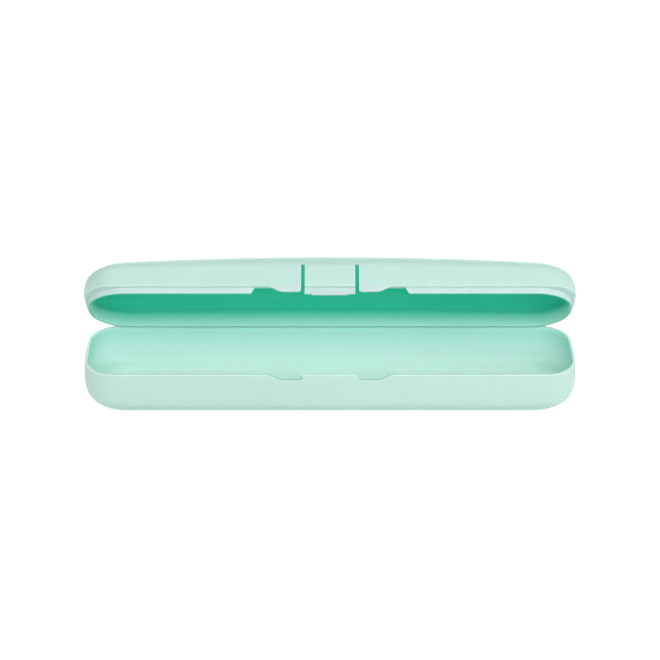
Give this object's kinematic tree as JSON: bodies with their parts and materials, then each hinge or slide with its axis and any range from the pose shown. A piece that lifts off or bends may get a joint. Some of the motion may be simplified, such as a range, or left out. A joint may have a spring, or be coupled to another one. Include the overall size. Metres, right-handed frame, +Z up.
{
  "type": "toothbrush travel case",
  "caption": "Long slim travel case with rounded ends: a moulded tray, a rear-hinged lid standing open, and a sprung latch tab in the lid's front wall.",
  "frame": {"origin": "centre of the flat underside of the tray", "axes": "+X along the case, to the right seen from the latch; -Y towards the latch, +Y towards the hinge; +Z up"},
  "size_m": [0.2056, 0.0521, 0.0605],
  "materials": {
    "mint_shell": "satin moulded polypropylene in pale mint",
    "steel_pin": "drawn steel wire"
  },
  "bodies": {
    "tray": {"base_shell": "mint_shell", "hinge_pin_left": "steel_pin", "hinge_pin_right": "steel_pin"},
    "lid": {"lid_shell": "mint_shell"},
    "latch": {"latch_tab": "mint_shell"}
  },
  "joints": [
    {"name": "lid_hinge", "type": "hinge", "parent": "tray", "child": "lid", "pos_m": [0, 0.02255, 0.02], "axis": [-1, 0, 0], "range_deg": [-49.5, 130.5]},
    {"name": "latch_press", "type": "hinge", "parent": "lid", "child": "latch", "pos_m": [0, 0.00247, 0.0586], "axis": [1, 0, 0], "range_deg": [0, 6], "stiffness_Nm_per_rad": 0.3}
  ]
}
